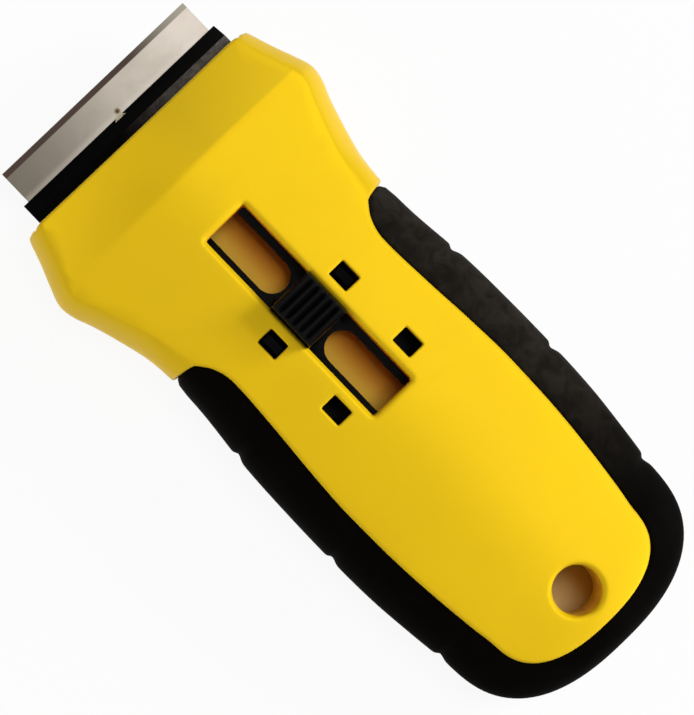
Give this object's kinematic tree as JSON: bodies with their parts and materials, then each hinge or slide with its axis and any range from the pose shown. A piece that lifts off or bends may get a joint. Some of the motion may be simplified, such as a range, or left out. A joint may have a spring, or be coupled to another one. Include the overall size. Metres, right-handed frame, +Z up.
{
  "type": "razor blade scraper",
  "caption": "Hand scraper with a flat yellow handle, black rubber flanks, a thumb slide on top and a single-edge razor blade in a sliding, hinged clamp.",
  "frame": {"origin": "centre of the bounding box's bottom face, with the blade in its middle position", "axes": "+Y along the handle towards the blade's edge, +X to the right seen from above, +Z up out of the thumb slide's side"},
  "size_m": [0.0544, 0.12, 0.0192],
  "materials": {
    "yellow_plastic": "glossy moulded ABS, bright yellow",
    "grip_rubber": "soft satin overmoulded rubber, black",
    "black_plastic": "glossy moulded acetal, black",
    "black_steel": "black coated steel sheet, semi gloss",
    "blade_steel": "fine ground carbon steel, oiled",
    "spine_steel": "folded steel strip, dull",
    "spring_steel": "blackened spring steel",
    "pin_steel": "bright drawn steel",
    "screw_steel": "black zinc plated steel"
  },
  "bodies": {
    "handle": {"upper_shell": "yellow_plastic", "lower_shell": "yellow_plastic", "upper_grip": "grip_rubber", "lower_grip": "grip_rubber", "shell_screws": "screw_steel"},
    "slide": {"blade_slide": "black_plastic", "latch_spring": "spring_steel", "holder_base": "black_steel", "holder_rivets": "pin_steel", "locating_stud": "pin_steel", "razor_blade": "blade_steel", "blade_spine": "spine_steel", "hinge_pin": "pin_steel", "jaw_spring": "spring_steel"},
    "pad": {"thumb_pad": "black_plastic"},
    "jaw": {"clamp_jaw": "black_steel"}
  },
  "joints": [
    {"name": "blade_travel", "type": "slide", "parent": "handle", "child": "slide", "axis": [0, 1, 0], "range_m": [-0.0141, 0.0141], "deforming": ["latch_spring"]},
    {"name": "pad_press", "type": "slide", "parent": "slide", "child": "pad", "axis": [0, 0, -1], "range_m": [0, 0.0012], "stiffness_N_per_m": 2500, "springref_m": -0.0004, "deforming": ["latch_spring"]},
    {"name": "jaw_open", "type": "hinge", "parent": "slide", "child": "jaw", "pos_m": [0, 0.0376, 0.0096], "axis": [1, 0, 0], "range_deg": [0, 3.5], "stiffness_Nm_per_rad": 0.3, "springref_deg": -20.05, "deforming": ["jaw_spring"]}
  ]
}
